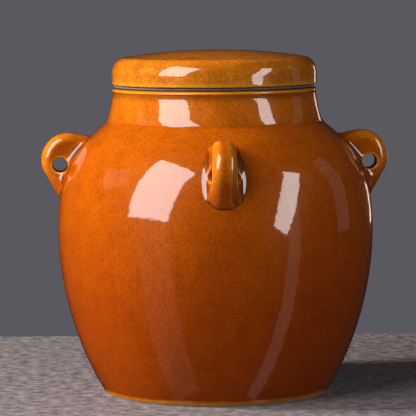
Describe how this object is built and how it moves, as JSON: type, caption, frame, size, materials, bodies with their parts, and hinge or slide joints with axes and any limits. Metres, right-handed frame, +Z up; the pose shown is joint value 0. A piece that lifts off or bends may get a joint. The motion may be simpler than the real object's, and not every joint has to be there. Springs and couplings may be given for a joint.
{
  "type": "ceramic fermenting crock",
  "caption": "Round-bellied glazed ceramic crock with pierced shoulder lugs, a domed lid on a silicone seal, and half-moon weights inside for keeping a ferment under its brine.",
  "frame": {"origin": "centre of the foot ring, on the surface that the crock stands on", "axes": "+Z up along the axis of the crock; the lugs stand at +X, +Y, -X and -Y, and -Y is the front"},
  "size_m": [0.2202, 0.2202, 0.2165],
  "materials": {
    "amber_glaze": "glossy amber-brown glaze, paler and yellower where it thins over edges",
    "honey_glaze": "the same glaze, thinner and yellower",
    "grey_silicone": "satin moulded silicone",
    "bare_stoneware": "matt unglazed fired clay"
  },
  "bodies": {
    "crock": {"crock_body": "amber_glaze", "lug_right": "amber_glaze", "lug_back": "amber_glaze", "lug_left": "amber_glaze", "lug_front": "amber_glaze"},
    "seal": {"lid_seal": "grey_silicone"},
    "lid": {"lid": "honey_glaze"},
    "weight_back": {"weight_back": "bare_stoneware"},
    "weight_front": {"weight_front": "bare_stoneware"}
  },
  "joints": [
    {"name": "seal_and_lid_lift", "type": "slide", "parent": "crock", "child": "seal", "axis": [0, 0, 1], "range_m": [0, 0.15]},
    {"name": "lid_off_seal", "type": "slide", "parent": "seal", "child": "lid", "axis": [0, 0, 1], "range_m": [0, 0.05]},
    {"name": "weight_back_lift", "type": "slide", "parent": "crock", "child": "weight_back", "axis": [0, 0, 1], "range_m": [0, 0.12]},
    {"name": "weight_front_lift", "type": "slide", "parent": "crock", "child": "weight_front", "axis": [0, 0, 1], "range_m": [0, 0.12]}
  ]
}
